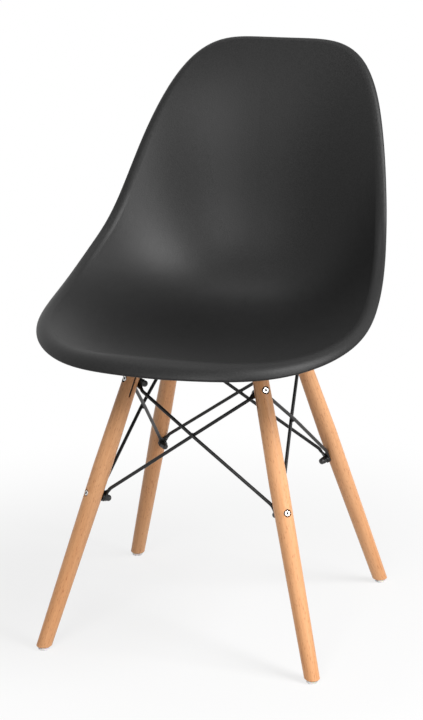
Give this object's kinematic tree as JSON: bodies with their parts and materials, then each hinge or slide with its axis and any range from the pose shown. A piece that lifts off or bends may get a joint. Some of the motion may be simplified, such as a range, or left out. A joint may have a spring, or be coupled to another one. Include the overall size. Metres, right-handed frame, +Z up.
{
  "type": "shell chair",
  "caption": "Moulded plastic shell chair: a seamless bucket seat and back on splayed turned wooden legs, braced by crossed steel rods.",
  "frame": {"origin": "on the floor, at the middle of the box round the whole chair", "axes": "+Z up, the front of the chair faces -Y, +X towards its right side as seen from the front"},
  "size_m": [0.4766, 0.6099, 0.8146],
  "materials": {
    "shell_plastic": "moulded charcoal polypropylene, satin with a very fine grain",
    "beech_wood": "turned beech, clear matt lacquer",
    "black_steel": "black powder coat, satin",
    "zinc_steel": "bright zinc plate",
    "bright_steel": "plain steel wire",
    "black_nut": "black, satin",
    "white_nylon": "natural white nylon",
    "black_rubber": "matt",
    "insert_brass": "knurled, plain"
  },
  "bodies": {
    "root": {"brace_back_from_left": "black_steel", "brace_back_from_right": "black_steel", "brace_front_from_left": "black_steel", "brace_front_from_right": "black_steel", "brace_left_from_back": "black_steel", "brace_left_from_front": "black_steel", "brace_right_from_back": "black_steel", "brace_right_from_front": "black_steel", "glide_back_left": "white_nylon", "glide_back_right": "white_nylon", "glide_front_left": "white_nylon", "glide_front_right": "white_nylon", "glide_nail_back_left": "bright_steel", "glide_nail_back_right": "bright_steel", "glide_nail_front_left": "bright_steel", "glide_nail_front_right": "bright_steel", "insert_back_left": "insert_brass", "insert_back_right": "insert_brass", "insert_front_left": "insert_brass", "insert_front_right": "insert_brass", "leg_back_left": "beech_wood", "leg_back_right": "beech_wood", "leg_front_left": "beech_wood", "leg_front_right": "beech_wood", "lower_bolt_back_left": "zinc_steel", "lower_bolt_back_right": "zinc_steel", "lower_bolt_front_left": "zinc_steel", "lower_bolt_front_right": "zinc_steel", "lower_cap_nut_back_left": "black_nut", "lower_cap_nut_back_right": "black_nut", "lower_cap_nut_front_left": "black_nut", "lower_cap_nut_front_right": "black_nut", "lower_seat_arm": "black_steel", "seat_shell": "shell_plastic", "shell_screw_back_left": "zinc_steel", "shell_screw_back_right": "zinc_steel", "shell_screw_front_left": "zinc_steel", "shell_screw_front_right": "zinc_steel", "spacer_back_left": "black_rubber", "spacer_back_right": "black_rubber", "spacer_front_left": "black_rubber", "spacer_front_right": "black_rubber", "upper_bolt_back_left": "zinc_steel", "upper_bolt_back_right": "zinc_steel", "upper_bolt_front_left": "zinc_steel", "upper_bolt_front_right": "zinc_steel", "upper_cap_nut_back_left": "black_nut", "upper_cap_nut_back_right": "black_nut", "upper_cap_nut_front_left": "black_nut", "upper_cap_nut_front_right": "black_nut", "upper_seat_arm": "black_steel", "washer_back_left": "zinc_steel", "washer_back_right": "zinc_steel", "washer_front_left": "zinc_steel", "washer_front_right": "zinc_steel"}
  },
  "joints": []
}
